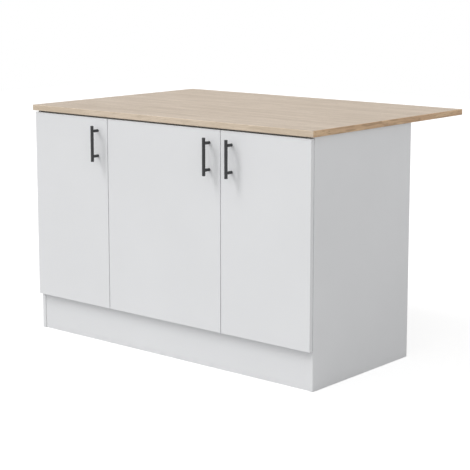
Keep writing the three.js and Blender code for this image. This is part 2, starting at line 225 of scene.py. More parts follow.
# %% Lamps
BAR_STAND_OFF = 30
SHADOW_RIGHT = 34
SHADOWS_DOWN = {"low": 36, "middle": 54, "high": 78}
KEY_STRENGTH = 0.41
KEY_SPREAD = 13

# Each lamp's direction as seen from the island, its strength, and how many degrees wide it looks.
LAMPS = {
    "broad_lamp": ((-8, -30, 36), 0.66, 75),
    "right_lamp": ((100, -30, 25), 0.29, 50),
}
for level, down in SHADOWS_DOWN.items():
    LAMPS[level + "_key_lamp"] = ((-SHADOW_RIGHT, -BAR_STAND_OFF, down), KEY_STRENGTH, KEY_SPREAD)
for name, (towards, strength, spread_angle) in LAMPS.items():
    lamp = shown_object(name, bpy.data.lights.new(name, "SUN"))
    lamp.rotation_mode = "QUATERNION"
    lamp.rotation_quaternion = Vector(towards).to_track_quat("Z", "Y")
    lamp.data.energy = strength
    lamp.data.angle = math.radians(spread_angle)
print("lamps:", len(LAMPS))

# %% World
AMBIENT = 0.55


def seen_directly(tree):
    """1 for rays that show the background to the camera, in a reflection or through glass, and else 0."""
    path = add(tree, "ShaderNodeLightPath", {}).node.outputs
    shown = maths("MAXIMUM", path["Is Camera Ray"], path["Is Glossy Ray"])
    return maths("MAXIMUM", shown, path["Is Transmission Ray"])


world = bpy.data.worlds.new("studio")
world.use_nodes = True
bpy.context.scene.world = world
bright = spread(seen_directly(world.node_tree), AMBIENT, 1.0, 0.0, 1.0)
feed(world.node_tree.nodes["Background"], Color=(1.0, 1.0, 1.0), Strength=bright)
print("light from all round:", AMBIENT)

# %% Floor
FLOOR_REACH = 9.0
FLOOR_COLOUR = (0.42, 0.42, 0.42)
FLOOR_CLOUDS = 500 * MM
FLOOR_LIFT = 0.74

floor_mesh = bpy.data.meshes.new("floor")
corners = [(-1, -1), (1, -1), (1, 1), (-1, 1)]
floor_mesh.from_pydata([(x * FLOOR_REACH, y * FLOOR_REACH, 0.0) for x, y in corners], [], [(0, 1, 2, 3)])
floor = shown_object("floor", floor_mesh)

pale_floor, tree, shader = new_finish("pale_floor", 0.9, Specular_IOR_Level=0.0)
tone = mixed(noise(tree, FLOOR_CLOUDS, detail=3.0), FLOOR_COLOUR, darker(FLOOR_COLOUR, 0.02))
lift = spread(seen_directly(tree), 0.0, FLOOR_LIFT, 0.0, 1.0)
feed(shader, Base_Color=tone, Emission_Color=(1.0, 1.0, 1.0), Emission_Strength=lift)
floor_mesh.materials.append(pale_floor)

# %% [markdown]
# ## The oak decor
#
# The worktop isn't solid wood. It is a board with a printed oak decor on its faces and a plastic band on its
# edges, so it has no end grain: the figure runs along the band at the ends too. The print is a pale, greyish
# beige with soft streaks along the length. Noise of several sizes, stretched along the grain, gives the broad
# shades and streaks, the fibres and the short dark pores, and a distorted one gives the flames of the figure.
# The fibres are pressed into the surface as a faint relief. The bands are warmer than the print.

# %% Oak finishes
SHADES = 110 * MM
STREAKS = 26 * MM
FLAMES = 12 * MM
FIBRES = 1.6 * MM
PORES = 1.1 * MM

# Each has the light and the dark colour of the streaks.
PRINT_TONES = (0.634, 0.531, 0.431), (0.478, 0.388, 0.299)
BAND_TONES = (0.843, 0.708, 0.566), (0.690, 0.566, 0.428)
END_BAND_TONES = (0.990, 0.755, 0.480), (0.640, 0.414, 0.244)


def oak(name, tones, along, figure=1.0, gloss=0.55):
    """A printed oak whose grain runs along one axis: 0 for X and 1 for Y."""
    made, tree, shader = new_finish(name, gloss)
    light, dark = tones

    def grain(width, longer, **pattern):
        """Noise as wide as given, and longer along the grain."""
        return noise(tree, width, [longer if axis == along else 1 for axis in range(3)], **pattern)

    shades = grain(SHADES, 5, place=(8, 1, 3), detail=1.0)
    streaks = grain(STREAKS, 14, detail=3.0, roughness=0.55, distortion=0.6)
    flames = grain(FLAMES, 10, place=(3, 1, 2), distortion=1.8)
    fibres = grain(FIBRES, 60, detail=3.0, roughness=0.7)
    pores = grain(PORES, 14, place=(5, 3, 7), detail=1.0)
    tone = over(light, streaks, 1.0, dark, 0.38, 0.62)
    tone = over(tone, shades, 0.4, dark)
    tone = over(tone, flames, 0.75 * figure, darker(dark, 0.13 * figure), 0.50, 0.72)
    tone = over(tone, fibres, 0.45, darker(dark, 0.14))
    tone = over(tone, pores, 0.55, darker(dark, 0.45), 0.63, 0.72)
    feed(shader, Base_Color=tone, Roughness=spread(fibres, gloss - 0.07, gloss + 0.10))
    relief(shader, spread(fibres, 1.0, 0.0, 0.3, 0.8), 0.05 * MM, 0.6)
    return made


oak_face = oak("oak_face", PRINT_TONES, along=0)
oak_band = oak("oak_band", BAND_TONES, along=0)
oak_end_band = oak("oak_end_band", END_BAND_TONES, along=1, figure=2.1)

# %% [markdown]
# ## The white boards
#
# White melamine board is chipboard under a hard white paper film, with a plastic band on every edge that
# shows. The film has a very fine pearl texture that breaks up reflections, and it is never quite evenly
# white. Near the floor it takes on a little grey from mops and shoes. The band is another material, so it is
# a touch smoother. Where no band is needed the edge stays raw and shows the chips, as the drillings do.

# %% White finishes
WHITE = (0.872, 0.880, 0.893)
# A touch darker white: the bands' own tone, and on the plinth board a painted shade, as if the doors above
# shaded it.
BAND_WHITE_AND_PLINTH_SHADE = darker(WHITE, 0.015)
CLOUDS = 350 * MM
SCUFFS = 20 * MM
SCUFFED_UP_TO = 25 * MM
RUBBED_PATCHES = 50 * MM


def white_film(name, colour, gloss, pearl):
    """Melamine film with a pearl texture of the given size."""
    made, tree, shader = new_finish(name, gloss)
    clean = over(colour, noise(tree, CLOUDS, detail=3.0), 1.0, darker(colour, 0.02))
    where = add(tree, "ShaderNodeTexCoord", {}, "Object")
    height = add(tree, "ShaderNodeSeparateXYZ", {0: where}, "Z")
    near_floor = spread(height, 1.0, 0.0, 0.0, SCUFFED_UP_TO)
    scuffs = spread(noise(tree, SCUFFS, (3, 3, 1), detail=4.0), 0.0, 0.7)
    tone = mixed(times(near_floor, scuffs), clean, darker(colour, 0.12))
    rubbed = noise(tree, RUBBED_PATCHES, place=(2, 5, 1), detail=3.0)
    feed(shader, Base_Color=tone, Roughness=spread(rubbed, gloss - 0.04, gloss + 0.05))
    relief(shader, noise(tree, pearl, roughness=0.6), 0.02 * MM, 0.5)
    return made


white_face = white_film("white_face", WHITE, 0.45, 0.9 * MM)
white_door_face = white_film("white_door_face", WHITE, 0.38, 1.4 * MM)
white_band = white_film("white_band", BAND_WHITE_AND_PLINTH_SHADE, 0.33, 3 * MM)
# The plinth board's film is darker than the other boards' film: painted shade, as if the doors above shaded
# it.
white_plinth_painted_shade = white_film("white_plinth_painted_shade", BAND_WHITE_AND_PLINTH_SHADE, 0.5, 2 * MM)

# %% Chipboard
LIGHT_CHIP = (0.62, 0.43, 0.24)
DARK_CHIP = (0.30, 0.16, 0.07)
CHIPS = 1.6 * MM
DUST = 0.5 * MM

chipboard, tree, shader = new_finish("chipboard", 0.9)
chips = noise(tree, CHIPS, (2.2, 2.2, 1), detail=3.0, roughness=0.7)
tone = over(LIGHT_CHIP, chips, 1.0, DARK_CHIP)
tone = over(tone, noise(tree, DUST, detail=1.0), 0.4, darker(DARK_CHIP, 0.4))
feed(shader, Base_Color=tone)
relief(shader, chips, 0.4 * MM)

# %% [markdown]
# ## Metals and plastics
#
# The handles are dark anthracite, sprayed as powder and baked, so they have a fine grain and a soft gloss,
# a little polished where hands take hold of them. The fittings are steel with a thin coat of nickel: a warm,
# slightly uneven metal with fine brushing. Caps and pads are moulded plastic.

# %% Metal finishes
COATING_TONES = (0.020, 0.021, 0.023), (0.032, 0.033, 0.036)
BRIGHT_NICKEL = (0.66, 0.65, 0.62)
DULL_NICKEL = (0.58, 0.575, 0.56)
BRUSHED_NICKEL = (0.50, 0.495, 0.48)

anthracite, tree, shader = new_finish("anthracite_coating", 0.42)
powder = noise(tree, 0.4 * MM)
handled = noise(tree, 30 * MM)
feed(shader, Base_Color=mixed(powder, *COATING_TONES), Roughness=spread(handled, 0.34, 0.48))
relief(shader, powder, 0.02 * MM)

nickel, tree, shader = new_finish("nickel_steel", 0.3, Metallic=1.0)
brushing = noise(tree, 0.25 * MM, (1, 1, 16), detail=3.0)
tone = over(BRIGHT_NICKEL, noise(tree, 8 * MM), 1.0, DULL_NICKEL)
tone = over(tone, brushing, 0.5, BRUSHED_NICKEL)
feed(shader, Base_Color=tone, Roughness=spread(brushing, 0.22, 0.38))
relief(shader, brushing, 0.01 * MM, 0.5)

# %% Plastic finishes
PLASTIC_TONES = (0.82, 0.825, 0.83), (0.78, 0.785, 0.79)
RUBBER_TONES = (0.78, 0.79, 0.78), (0.68, 0.69, 0.68)

white_plastic, tree, shader = new_finish("white_plastic", 0.4)
moulded = noise(tree, 0.7 * MM)
feed(shader, Base_Color=mixed(moulded, *PLASTIC_TONES))
relief(shader, moulded, 0.015 * MM)

clear_rubber, tree, shader = new_finish("clear_rubber", 0.35, Transmission_Weight=0.35, IOR=1.42)
cloudy = noise(tree, 1.2 * MM)
feed(shader, Base_Color=mixed(cloudy, *RUBBER_TONES))
relief(shader, cloudy, 0.02 * MM)

# %% [markdown]
# ## Boards with banded edges
#
# Every board of the cabinet is a flat box, and what makes it look like a board is its edges. A band is
# scraped to a small round arris of about a millimetre, which catches the light as a thin line, while a raw
# sawn edge stays sharp. So each board is made from its solid's own corners, with a Bevel modifier whose width
# follows edge weights: full where both sides are finished, and small where one is raw. The faces then get
# their finish by the way they look: the two large ones the film, the others the band or the raw edge.

# %% Helpers for modifiers
SHARP_FROM = math.radians(40)


def modify(piece, kind, inputs=(), **settings):
    """Runs one modifier on a piece and keeps the result as the piece's own plain mesh."""
    modifier = piece.modifiers.new(kind, kind)
    for setting, value in settings.items():
        setattr(modifier, setting, value)
    for identifier, value in inputs:
        modifier[identifier] = value
    graph = bpy.context.evaluated_depsgraph_get()
    made = bpy.data.meshes.new_from_object(piece.evaluated_get(graph), depsgraph=graph)
    piece.modifiers.clear()
    piece.data = made


def shade(piece):
    """Smooth shading over the arrises, flat faces between them, and sharp edges where the piece turns."""
    piece.data.shade_smooth()
    piece.data.set_sharp_from_angle(angle=SHARP_FROM)
    modify(piece, "WEIGHTED_NORMAL", keep_sharp=True)


def place(piece, body, slot, *stands_for):
    """Hands a finished piece over to the frame."""
    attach(piece, body)
    if stands_for:
        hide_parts(*stands_for)


# %% Sides of a board
SIDES = {
    "left": Vector((-1, 0, 0)),
    "right": Vector((1, 0, 0)),
    "front": Vector((0, -1, 0)),
    "back": Vector((0, 1, 0)),
    "bottom": Vector((0, 0, -1)),
    "top": Vector((0, 0, 1)),
}


def faces_across(thin):
    """The names of the two large faces of a board that is thin along an axis."""
    return [name for name, way in SIDES.items() if abs(way[thin]) > 0.5]


def side_of(normal, thin):
    """The side of a board that a face belongs to. Arris faces belong to the nearest edge side."""
    across = faces_across(thin)
    if abs(normal[thin]) > 0.999:
        return max(across, key=lambda name: normal.dot(SIDES[name]))
    edges = [name for name in SIDES if name not in across]
    return max(edges, key=lambda name: normal.dot(SIDES[name]))


# %% Board maker
BAND_ARRIS = 1.0 * MM
RAW_SHARE = 0.2
ARRIS_STEPS = 3


def weighted_box(low, high, finished):
    """A box between two corners. Its edges weigh 1 where both sides are finished, and little elsewhere."""
    made = bmesh.new()
    bmesh.ops.create_cube(made, size=1.0)
    for corner in made.verts:
        corner.co = [high[axis] if corner.co[axis] > 0 else low[axis] for axis in range(3)]
    made.normal_update()
    weight = made.edges.layers.float.new("bevel_weight_edge")
    for edge in made.edges:
        meeting = [max(SIDES, key=lambda side: face.normal.dot(SIDES[side])) for face in edge.link_faces]
        edge[weight] = 1.0 if all(side in finished for side in meeting) else RAW_SHARE
    mesh = bpy.data.meshes.new("board")
    made.to_mesh(mesh)
    made.free()
    return mesh


def board(name, film, bands, arris=BAND_ARRIS):
    """A board in place of a solid: film on its two large faces, bands on the named sides, the rest raw."""
    low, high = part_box(name)
    thin = min(range(3), key=lambda axis: high[axis] - low[axis])
    finishes = {side: bands.get(side, chipboard) for side in SIDES}
    finishes.update({side: film for side in faces_across(thin)})
    finished = [side for side in SIDES if finishes[side] is not chipboard]
    piece = shown_object("finished_" + name, weighted_box(low, high, finished))
    modify(piece, "BEVEL", limit_method="WEIGHT", width=arris, segments=ARRIS_STEPS)
    slots = list(dict.fromkeys(finishes.values()))
    piece.data.materials.clear()
    for finish in slots:
        piece.data.materials.append(finish)
    for face in piece.data.polygons:
        face.material_index = slots.index(finishes[side_of(face.normal, thin)])
    return piece


# %% The worktop
WORKTOP_ARRIS = 1.6 * MM

oak_bands = {"front": oak_band, "back": oak_band, "left": oak_end_band, "right": oak_end_band}
worktop = board("worktop", oak_face, oak_bands, WORKTOP_ARRIS)
shade(worktop)
place(worktop, "cabinet", "oak_worktop", "worktop")
print("worktop:", len(worktop.data.polygons), "faces")

# %% [markdown]
# ## The cabinet's boards and doors
#
# A maker bands only what shows. The side panels and the shelves have a band in front and behind, the
# dividers, the bottom panel and the top rails in front, the back panel at its two ends, the plinth board
# along its top, and the doors all round. Listing the banded sides of each board is all that the board maker
# needs.

# %% Cabinet boards
BANDED = {
    "left_side_panel": ("front", "back"),
    "right_side_panel": ("front", "back"),
    "left_divider": ("front",),
    "right_divider": ("front",),
    "bottom_panel": ("front",),
    "back_panel": ("left", "right"),
    "front_top_rail": ("front",),
    "back_top_rail": ("front",),
    "plinth_board": ("top",),
    "left_plinth_brace": (),
    "right_plinth_brace": (),
    "left_shelf": ("front", "back"),
    "middle_shelf": ("front", "back"),
    "right_shelf": ("front", "back"),
}
boards = {}
for name, sides in BANDED.items():
    # The plinth board takes the darker film with the painted shade.
    film = white_plinth_painted_shade if name == "plinth_board" else white_face
    boards[name] = board(name, film, dict.fromkeys(sides, white_band))
print("cabinet boards:", len(boards))

# %% Doors
DOOR_SIDES = ("left", "middle", "right")
all_round = dict.fromkeys(("left", "right", "bottom", "top"), white_band)
doors = {side: board(side + "_door", white_door_face, all_round) for side in DOOR_SIDES}
print("doors:", len(doors))

# %% [markdown]
# ## Setting parts out on points
#
# Screws, holes, caps and shelf supports repeat, and each one has a place and a direction. A workshop marks
# the places first and then fits the same part on each mark. Here the marks are points with an "axis", and a
# geometry tree puts one part on each, with its own Z along that axis. Turning each screw at random about its
# axis, with a fixed seed, keeps the recesses from lining up. The tree ends in real geometry, not instances.


# %% Helpers that start and end a tree
def new_tree(name, sizes, **others):
    """A geometry tree with named inputs, numbers for the sizes, and the outputs that give them."""
    tree = bpy.data.node_groups.new(name, "GeometryNodeTree")
    tree.interface.new_socket("Geometry", in_out="INPUT", socket_type="NodeSocketGeometry")
    for label, kind in {**dict.fromkeys(sizes, "Float"), **others}.items():
        tree.interface.new_socket(label, in_out="INPUT", socket_type="NodeSocket" + kind)
    tree.interface.new_socket("Geometry", in_out="OUTPUT", socket_type="NodeSocketGeometry")
    print("tree:", name)
    return tree, tree.nodes.new("NodeGroupInput").outputs


def hand_out(geometry):
    """Ends a tree with the geometry that it gives out."""
    connect(geometry.id_data.nodes.new("NodeGroupOutput").inputs["Geometry"], geometry)


def moved(geometry, **change):
    """Geometry moved or turned inside a tree."""
    return add(geometry, "GeometryNodeTransform", {"Geometry": geometry, **change})


def on_points(points, part, rotation=(0.0, 0.0, 0.0)):
    """The part on every point, as real geometry."""
    placing = {"Points": points, "Instance": part, "Rotation": rotation}
    placed = add(points, "GeometryNodeInstanceOnPoints", placing)
    return add(points, "GeometryNodeRealizeInstances", {"Geometry": placed})


def set_out(given, part, seed=None, upright=False):
    """Ends a tree with one part on each point. Its Z follows the axis, or its X if it stays upright."""
    axis = add(part, "GeometryNodeInputNamedAttribute", {"Name": "axis"}, data_type="FLOAT_VECTOR")
    way = {"axis": "X", "pivot_axis": "Z"} if upright else {"axis": "Z"}
    aimed = add(part, "FunctionNodeAlignRotationToVector", {"Vector": axis}, **way)
    if seed is not None:
        full_turn = {2: 0.0, 3: 2 * math.pi, 8: seed}
        angle = add(part, "FunctionNodeRandomValue", full_turn, 1, data_type="FLOAT")
        spin = add(part, "FunctionNodeAxisAngleToRotation", {"Axis": (0, 0, 1), "Angle": angle})
        spun = {"Rotation": aimed, "Rotate By": spin}
        aimed = add(part, "FunctionNodeRotateRotation", spun, rotation_space="LOCAL")
    placed = on_points(given["Geometry"], part, aimed)
    hand_out(add(part, "GeometryNodeSetMaterial", {"Geometry": placed, "Material": given["Finish"]}))


# %% Helpers that run a tree
def marks(name, places, axes):
    """Bare points, each with the axis of the part that goes there, or all with one axis."""
    mesh = bpy.data.meshes.new(name)
    mesh.from_pydata([tuple(spot) for spot in places], [], [])
    attribute = mesh.attributes.new("axis", "FLOAT_VECTOR", "POINT")
    if isinstance(axes, Vector):
        axes = [axes] * len(places)
    for mark, axis in zip(attribute.data, axes):
        mark.vector = axis
    return shown_object(name, mesh)


def work(piece, tree, values):
    """Runs a tree on a piece, with its inputs set by their identifiers."""
    items = [item for item in tree.interface.items_tree if item.name in values]
    modify(piece, "NODES", [(item.identifier, values[item.name]) for item in items], node_group=tree)


def built(name, places, axes, tree, values):
    """One mesh of alike parts, each built by a tree on its place, along its axis."""
    piece = marks("finished_" + name, places, axes)
    work(piece, tree, values)
    shade(piece)
    print(name + ":", len(places), "parts,", len(piece.data.polygons), "faces")
    return piece


# %% [markdown]
# ## The drillings
#
# The dividers are drilled right through and the side panels 9 mm deep, so that the shelves can be moved. Each
# door has two 35 mm cup bores and two holes for the handle screws. A drill is a cylinder on a mark, and a
# Boolean modifier takes it out of the board, with raw chipboard on its wall.

# %% Drill
# How far a drill stands out of the face it starts from, and out of the far face where it goes through.
PAST = 1 * MM
FIT_GAP = 0.3 * MM
DRILL_SIDES = 24

drill, given = new_tree("drill", ("Radius", "Depth"), Sides="Int", Finish="Material")
length = plus(given["Depth"], PAST)
bit_sizes = {"Vertices": given["Sides"], "Radius": given["Radius"], "Depth": length}
bit = add(drill, "GeometryNodeMeshCylinder", bit_sizes)
sunk = times(minus(given["Depth"], PAST), 0.5)
set_out(given, moved(bit, Translation=at(z=sunk)))


def drilled(piece, places, axis, radius, depth, sides=DRILL_SIDES):
    """Takes a hole out of the piece at each place, along the axis."""
    bits = marks("bits", places, axis)
    work(bits, drill, {"Radius": radius, "Depth": depth, "Sides": sides, "Finish": chipboard})
    modify(piece, "BOOLEAN", object=bits, operation="DIFFERENCE", material_mode="TRANSFER")
    bpy.data.objects.remove(bits)


def middle(node):
    """The middle of a solid's box."""
    low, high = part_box(node)
    return (low + high) / 2


# %% Holes for the shelf supports
HOLE_PITCH = 32 * MM
HOLE_STEPS = (-2, -1, 0, 1, 2)
PIN_RADIUS = 2.5 * MM
BLIND_DEPTH = 9 * MM


def hole_rows(face_x):
    """The marks of both rows of holes on an upright face."""
    rows = [middle("left_shelf_support_" + row + "_left") for row in ("front", "back")]
    return [(face_x, spot.y, spot.z + step * HOLE_PITCH) for spot in rows for step in HOLE_STEPS]


hole_radius = PIN_RADIUS + FIT_GAP
left_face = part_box("left_side_panel")[1].x
right_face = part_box("right_side_panel")[0].x
drilled(boards["left_side_panel"], hole_rows(left_face), SIDES["left"], hole_radius, BLIND_DEPTH)
drilled(boards["right_side_panel"], hole_rows(right_face), SIDES["right"], hole_radius, BLIND_DEPTH)
for name in ("left_divider", "right_divider"):
    low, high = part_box(name)
    drilled(boards[name], hole_rows(low.x), SIDES["right"], hole_radius, high.x - low.x + PAST)
print("support holes:", 4 * len(hole_rows(left_face)))

# %% Bores in the doors
ENDS = ("upper", "lower")
CUP_RADIUS = 17.5 * MM
CUP_DEPTH = 11.5 * MM
CUP_BORE_SIDES = 48
SCREW_RADIUS = 2 * MM


def fittings(side, kind):
    """The solids of a door's upper and lower fitting of a kind, and their marks on the door's back."""
    nodes = [side + "_door_" + kind + "_" + end for end in ENDS]
    door_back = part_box(side + "_door")[1].y
    return nodes, [Vector((middle(node).x, door_back, middle(node).z)) for node in nodes]


for side, piece in doors.items():
    low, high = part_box(side + "_door")
    cup_marks = fittings(side, "hinge_cup")[1]
    screw_marks = fittings(side, "handle_screw")[1]
    drilled(piece, cup_marks, SIDES["front"], CUP_RADIUS + FIT_GAP, CUP_DEPTH + FIT_GAP, CUP_BORE_SIDES)
    drilled(piece, screw_marks, SIDES["front"], SCREW_RADIUS + FIT_GAP, high.y - low.y + PAST)
    print(side + " door:", len(cup_marks), "cup bores,", len(screw_marks), "screw holes")

# %% Hand over the boards
for name, piece in boards.items():
    shade(piece)
    place(piece, "cabinet", "white_board", name)
for side, piece in doors.items():
    shade(piece)
    place(piece, side + "_door", "white_door", side + "_door")
print("boards handed over:", len(boards) + len(doors))

# %% [markdown]
# ## Turned pieces
#
# Handle bars, posts, screw heads, pins and caps all have the form that a lathe turns: a straight axis, a
# radius, and ends with a rounded or a barely broken edge. One tree makes them all. It sweeps a circle along a
# line whose points sit at the steps of a quarter circle near both ends, so the rounding follows a rule.


# %% Helpers for shapes in a tree
def path_through(count, spots):
    """A path of so many points, each put on a spot worked out from its index."""
    line = add(spots, "GeometryNodeCurvePrimitiveLine", {"End": (0.0, 0.0, 1.0)})
    points = add(line, "GeometryNodeResampleCurve", {"Curve": line, "Count": count})
    return add(points, "GeometryNodeSetPosition", {"Geometry": points, "Position": spots})


def united(parts):
    """Several parts welded into one solid."""
    return add(parts[0], "GeometryNodeMeshBoolean", {"Mesh 2": parts}, operation="UNION", solver="EXACT")


def cut_out(whole, cutters):
    """A solid with one or more cutters taken out of it."""
    meshes = {"Mesh 1": whole, "Mesh 2": cutters}
    return add(whole, "GeometryNodeMeshBoolean", meshes, operation="DIFFERENCE", solver="EXACT")


# %% Turned piece
TURN_STEPS = 4
TURN_POINTS = 2 * (TURN_STEPS + 1)
BROKEN_EDGE = 0.1 * MM
SHANK_SIDES = 24
HEAD_SIDES = 32

lathe_sizes = ("Radius", "Length", "Foot Rounding", "Head Rounding")
turned, given = new_tree("turned piece", lathe_sizes, Sides="Int")
index = add(turned, "GeometryNodeInputIndex", {})
from_end = maths("MINIMUM", index, minus(TURN_POINTS - 1, index))
angle = times(from_end, math.pi / 2 / TURN_STEPS)
at_foot = maths("LESS_THAN", index, TURN_POINTS / 2)
at_head = minus(1.0, at_foot)
foot_part = times(at_foot, given["Foot Rounding"])
head_part = times(at_head, given["Head Rounding"])
rounding = plus(foot_part, head_part)
inset = times(rounding, minus(1.0, maths("COSINE", angle)))
slack = times(rounding, minus(1.0, maths("SINE", angle)))
swept_radius = minus(given["Radius"], slack)
from_head = minus(given["Length"], inset)
height = plus(times(at_foot, inset), times(at_head, from_head))

lathe_axis = path_through(TURN_POINTS, at(z=height))
circle = add(turned, "GeometryNodeCurvePrimitiveCircle", {"Resolution": given["Sides"], "Radius": 1.0})
swept = {"Curve": lathe_axis, "Profile Curve": circle, "Scale": swept_radius, "Fill Caps": True}
hand_out(add(turned, "GeometryNodeCurveToMesh", swept))


def turn(tree, radius, length, foot=BROKEN_EDGE, head=BROKEN_EDGE, sides=SHANK_SIDES):
    """A turned piece inside another tree, standing on the origin along Z."""
    values = {"Radius": radius, "Length": length, "Foot Rounding": foot, "Head Rounding": head}
    return add(tree, "GeometryNodeGroup", {**values, "Sides": sides}, node_tree=turned)


# %% [markdown]
# ## The bar handles
#
# Each handle is one straight round bar on two posts. The bar's ends are slightly rounded, and the posts meet
# it at a right angle and are welded, so the three turned pieces become one mesh with a Boolean union. The
# tree's inputs are what a catalogue would give: the radii, the length, the spacing of the posts and how far
# the bar stands off the door.

# %% Handle tree
BAR_ROUNDING = 0.8 * MM
BAR_SIDES = 48
POST_ROUNDING = 0.15 * MM
POST_SIDES = 40
WELD_MERGE = 0.02 * MM

handle_sizes = ("Bar Radius", "Bar Length", "Post Radius", "Post Spacing", "Stand Off")
bar_handle, given = new_tree("bar handle", handle_sizes, Finish="Material")
bar = turn(bar_handle, given["Bar Radius"], given["Bar Length"], BAR_ROUNDING, BAR_ROUNDING, BAR_SIDES)
half_down = times(given["Bar Length"], -0.5)
bar = moved(bar, Translation=at(z=half_down))
post = turn(bar_handle, given["Post Radius"], given["Stand Off"], POST_ROUNDING, POST_ROUNDING, POST_SIDES)
post = moved(post, Rotation=(-math.pi / 2, 0.0, 0.0))
lower_mark = at(z=times(given["Post Spacing"], -0.5))
step_up = at(z=given["Post Spacing"])
two_marks = {"Count": 2, "Start Location": lower_mark, "Offset": step_up}
posts = on_points(add(bar_handle, "GeometryNodeMeshLine", two_marks), post)
welded = {"Geometry": united([bar, posts]), "Distance": WELD_MERGE}
set_out(given, add(bar_handle, "GeometryNodeMergeByDistance", welded))

# %% Handles
POST_RADIUS = 5.5 * MM

for side in DOOR_SIDES:
    node = side + "_door_handle"
    low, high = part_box(node)
    upper_screw, lower_screw = fittings(side, "handle_screw")[1]
    bar_radius = (high.x - low.x) / 2
    bar_middle = ((low.x + high.x) / 2, low.y + bar_radius, (low.z + high.z) / 2)
    values = {
        "Bar Radius": bar_radius,
        "Bar Length": high.z - low.z,
        "Post Radius": POST_RADIUS,
        "Post Spacing": upper_screw.z - lower_screw.z,
        "Stand Off": high.y - low.y - bar_radius,
        "Finish": anthracite,
    }
    handle = built(node, [bar_middle], SIDES["top"], bar_handle, values)
    place(handle, side + "_door", "anthracite_handle", node)

# %% [markdown]
# Pins, caps and pads are turned pieces too, and they come in rows, so they share a tree that puts one plain
# turned piece on each mark.

# %% Rows of turned parts
turned_part, given = new_tree("turned part", ("Radius", "Height", "Rounding"), Finish="Material")
rounding = given["Rounding"]
whole = turn(turned_part, given["Radius"], given["Height"], rounding, rounding, HEAD_SIDES)
set_out(given, whole)


def turned_row(name, places, axes, radius, height, rounding, finish):
    """One mesh of alike turned parts."""
    values = {"Radius": radius, "Height": height, "Rounding": rounding, "Finish": finish}
    return built(name, places, axes, turned_part, values)


# %% [markdown]
# ## Screws
#
# All the screws have the same head, a low dome with a cross recess, and a plain shank, since the thread is
# always buried. The handles, the hinge plates, the cups and the worktop each take their own size. Every screw
# stands on a mark and is turned at random, as a fitter leaves them.

# %% Screw tree
DOME_SHARE = 0.6
RECESS_REACH = 1.25
RECESS_WIDTH = 0.28
RECESS_DEPTH = 0.6
INTO_HEAD = 0.2 * MM

screw_sizes = ("Head Radius", "Head Height", "Shank Radius", "Shank Length")
screw, given = new_tree("screw", screw_sizes, Seed="Int", Finish="Material")
dome = times(given["Head Height"], DOME_SHARE)
head = turn(screw, given["Head Radius"], given["Head Height"], head=dome, sides=HEAD_SIDES)
shank = turn(screw, given["Shank Radius"], plus(given["Shank Length"], INTO_HEAD))
shank = moved(shank, Translation=at(z=times(given["Shank Length"], -1.0)))
reach = times(given["Head Radius"], RECESS_REACH)
width = times(given["Head Radius"], RECESS_WIDTH)
deep = times(given["Head Height"], 2 * RECESS_DEPTH)
blades = []
for across, along in ((reach, width), (width, reach)):
    blade = add(screw, "GeometryNodeMeshCube", {"Size": at(across, along, deep)})
    blades.append(moved(blade, Translation=at(z=given["Head Height"])))
recessed = cut_out(united([head, shank]), blades)
set_out(given, recessed, seed=given["Seed"])


def screw_size(head_radius, head_height, shank_radius, shank_length):
    """The sizes of one kind of screw."""
    return dict(zip(screw_sizes, (head_radius, head_height, shank_radius, shank_length)))


def screws(name, places, axes, size, seed):
    """One mesh of alike screws."""
    return built(name, places, axes, screw, {**size, "Seed": seed, "Finish": nickel})


# %% Handle screws
for side in DOOR_SIDES:
    nodes, places = fittings(side, "handle_screw")
    low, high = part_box(nodes[0])
    door_back = places[0].y
    size = screw_size((high.x - low.x) / 2, high.y - door_back, SCREW_RADIUS, door_back - low.y)
    piece = screws(side + "_door_handle_screws", places, SIDES["back"], size, seed=1)
    place(piece, side + "_door", "nickel_steel", *nodes)

# %% [markdown]
# ## The shelf supports
#
# Twelve small supports carry the shelves. Each is a strip of steel folded to an angle, with a pin at its back
# that is pushed into a hole. The strip follows a path, so its tree sweeps a rounded rectangle along two
# straight lines that meet in a small bend. The supports stay upright, so the tree turns them about Z only.

# %% Support tree
SHEET = 1.5 * MM
SHEET_EDGE = 0.3 * MM
EDGE_STEPS = 3
BEND = 1.2 * MM
BEND_STEPS = 6
PATH_POINTS = 3
PIN_TIP = 0.5 * MM


def rounded(curve, radius, steps):
    """A curve whose corners are rounded in steps."""
    corners = {"Curve": curve, "Radius": radius, "Count": steps}
    return add(curve, "GeometryNodeFilletCurve", corners, mode="POLY")


def strip(path, thickness, width):
    """A strip of sheet along a path, with rounded edges."""
    section = add(path, "GeometryNodeCurvePrimitiveQuadrilateral", {"Width": thickness, "Height": width})
    section = rounded(section, SHEET_EDGE, EDGE_STEPS)
    return add(path, "GeometryNodeCurveToMesh", {"Curve": path, "Profile Curve": section, "Fill Caps": True})


support_sizes = ("Height", "Width", "Reach", "Pin Depth")
support, given = new_tree("shelf support", support_sizes, Finish="Material")
index = add(support, "GeometryNodeInputIndex", {})
past_foot = maths("GREATER_THAN", index, 0.5)
past_bend = maths("GREATER_THAN", index, 1.5)
tab = times(past_bend, minus(given["Reach"], SHEET / 2))
rise = times(past_foot, minus(given["Height"], SHEET / 2))
path = path_through(PATH_POINTS, at(x=plus(tab, SHEET / 2), z=rise))
folded = strip(rounded(path, BEND, BEND_STEPS), SHEET, given["Width"])
pin = turn(support, PIN_RADIUS, plus(given["Pin Depth"], SHEET / 2), head=PIN_TIP)
pin_root = at(x=SHEET / 2, z=times(given["Height"], 0.5))
pin = moved(pin, Rotation=(0.0, -math.pi / 2, 0.0), Translation=pin_root)
set_out(given, united([folded, pin]), upright=True)

# %% Shelf supports
SUPPORT_TAB = 8 * MM

